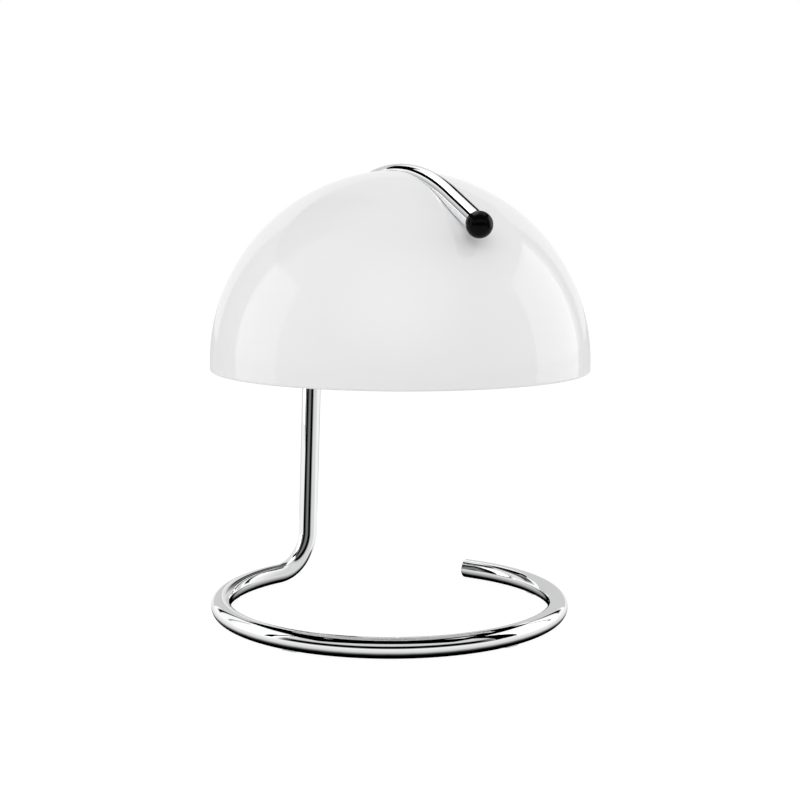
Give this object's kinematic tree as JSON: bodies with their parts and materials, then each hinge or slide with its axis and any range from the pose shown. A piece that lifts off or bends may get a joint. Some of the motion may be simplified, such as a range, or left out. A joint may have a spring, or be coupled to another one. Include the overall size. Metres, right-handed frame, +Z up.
{
  "type": "candle warmer lamp",
  "caption": "Table lamp that warms a candle: open ring base, stem and arm bent from one chrome tube, white half-dome shade, black ball end and a reflector lamp facing down.",
  "frame": {"origin": "on the table, at the middle of the lamp's footprint box", "axes": "+Z up; the arm lies in the YZ plane, its ball end towards -Y and its stem towards +Y"},
  "size_m": [0.225, 0.239, 0.2719],
  "materials": {
    "chrome": "mirror-bright chrome plate on bent steel tube",
    "opal_white": "glossy white moulded acrylic",
    "ball_black": "black moulded plastic, satin gloss",
    "clear_pad": "clear silicone",
    "sheath_white": "white flex sheath",
    "core_brown": "brown silicone insulation",
    "core_blue": "blue silicone insulation",
    "core_green": "green and yellow silicone insulation",
    "zinc_steel": "bright zinc plate",
    "silicone_white": "white silicone gasket",
    "cup_white": "white baked enamel",
    "porcelain": "unglazed steatite",
    "brass": "plain brass",
    "lamp_glass": "clear pressed glass with a bright inner coat"
  },
  "bodies": {
    "frame": {"tube_frame": "chrome", "foot_pads": "clear_pad", "cord_gland": "chrome", "inner_flex": "sheath_white", "nipple": "zinc_steel", "shade": "opal_white", "shade_gasket": "silicone_white", "shade_washer": "zinc_steel", "shade_nut": "zinc_steel", "socket_cup": "cup_white", "holder_bracket": "zinc_steel", "earth_tag": "brass", "tooth_washer": "zinc_steel", "bracket_nut": "zinc_steel", "lamp_holder": "porcelain", "holder_contacts": "brass", "holder_screws": "zinc_steel", "live_core": "core_brown", "neutral_core": "core_blue", "earth_core": "core_green", "tube_plug": "zinc_steel"},
    "lamp": {"lamp_base": "porcelain", "lamp_pins": "brass", "lamp_reflector": "lamp_glass", "lamp_lens": "lamp_glass", "lamp_burner": "lamp_glass"},
    "ball": {"end_ball": "ball_black", "ball_bush": "brass"}
  },
  "joints": [
    {"name": "lamp_twist", "type": "hinge", "parent": "frame", "child": "lamp", "pos_m": [0, -0.00703, 0.2191], "axis": [0, 0, -1], "range_deg": [0, 40]},
    {"name": "ball_turn", "type": "hinge", "parent": "frame", "child": "ball", "pos_m": [0, -0.0989, 0.23808], "axis": [0, -0.9107, -0.4131], "range_deg": [0, 360]}
  ]
}
